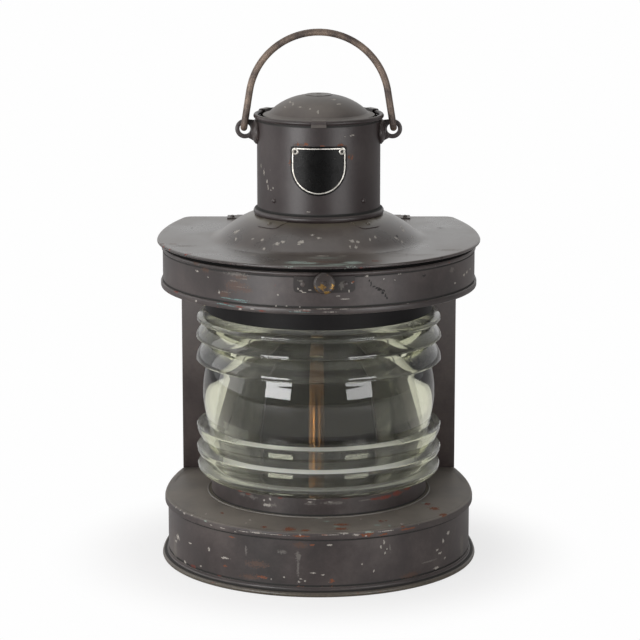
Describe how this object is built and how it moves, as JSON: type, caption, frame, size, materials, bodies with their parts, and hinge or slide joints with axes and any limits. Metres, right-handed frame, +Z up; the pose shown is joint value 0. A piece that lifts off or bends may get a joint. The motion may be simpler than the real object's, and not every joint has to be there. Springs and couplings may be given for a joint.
{
  "type": "masthead lantern",
  "caption": "Ship's masthead oil lantern with a D-shaped base, ribbed drum lens, hinged lid with chimney and a swinging rod bail.",
  "frame": {"origin": "lens axis at the level of the face it stands on", "axes": "+Z up, -Y out of the front where the lens and the latch are, +X to the right of someone who looks at the front"},
  "size_m": [0.299, 0.2721, 0.496],
  "materials": {
    "body_paint": "old satin paint, chipped to red lead and bare metal",
    "socket_paint": "old satin paint",
    "lens_glass": "clear pressed glass, faint green",
    "putty": "old glazing putty",
    "brass": "aged",
    "font_tin": "dull tinplate",
    "pin_steel": "rusted",
    "wick_cotton": "woven cotton, charred end",
    "badge_enamel": "gloss enamel with a pale border",
    "eyelet_metal": "worn nickel",
    "bail_iron": "rusted rod"
  },
  "bodies": {
    "lantern_body": {"bottom_plate": "body_paint", "foot": "body_paint", "base_wall": "body_paint", "base_top": "body_paint", "lower_collar": "body_paint", "lower_putty": "putty", "lens": "lens_glass", "upper_putty": "putty", "upper_collar": "body_paint", "drum_floor": "body_paint", "drum_band": "body_paint", "drum_wall": "body_paint", "back_plate": "body_paint", "glazing_bars": "body_paint", "mast_socket": "socket_paint", "socket_rivets": "socket_paint", "hinge_fixed_leaves": "body_paint", "hinge_pins": "pin_steel", "hinge_fixed_rivets": "body_paint", "latch_plate": "body_paint", "latch_rivets": "body_paint", "font": "font_tin", "font_cap": "brass", "burner": "brass", "wick_tube": "brass"},
    "latch": {"latch_knob": "brass", "latch_clamp": "brass"},
    "wick_gear": {"wick_wheel": "brass", "wick_knob": "brass"},
    "wick": {"wick": "wick_cotton"},
    "lid": {"lid_plate": "body_paint", "lid_locating_rim": "body_paint", "dome": "body_paint", "chimney_foot_ring": "body_paint", "chimney": "body_paint", "chimney_rim": "body_paint", "dome_tabs": "body_paint", "tab_rivets": "body_paint", "chimney_rivets": "body_paint", "cap": "body_paint", "cap_disc": "body_paint", "cap_clips": "body_paint", "ears": "body_paint", "ear_rivets": "body_paint", "badge": "badge_enamel", "badge_eyelets": "eyelet_metal", "hinge_lid_leaves": "body_paint", "hinge_lid_rivets": "body_paint", "latch_fork": "body_paint"},
    "bail": {"bail": "bail_iron"}
  },
  "joints": [
    {"name": "lid_hinge", "type": "hinge", "parent": "lantern_body", "child": "lid", "pos_m": [0, 0.1162, 0.2996], "axis": [-1, 0, 0], "range_deg": [0, 100]},
    {"name": "bail_swing", "type": "hinge", "parent": "lid", "child": "bail", "pos_m": [0, 0, 0.4105], "axis": [1, 0, 0], "range_deg": [-120, 120]},
    {"name": "latch_turn", "type": "hinge", "parent": "lantern_body", "child": "latch", "pos_m": [0.005, -0.1457, 0.288], "axis": [0, -1, 0], "range_deg": [0, 90]},
    {"name": "wick_turn", "type": "hinge", "parent": "lantern_body", "child": "wick_gear", "pos_m": [-0.002, -0.0094, 0.0688], "axis": [1, 0, 0], "range_deg": [0, 180]},
    {"name": "wick_rise", "type": "slide", "parent": "lantern_body", "child": "wick", "axis": [0, 0, 1], "range_m": [0, 0.0098]}
  ],
  "couplings": [
    {"joint": "wick_rise", "follows": "wick_turn", "m_per_rad": 0.0031}
  ]
}
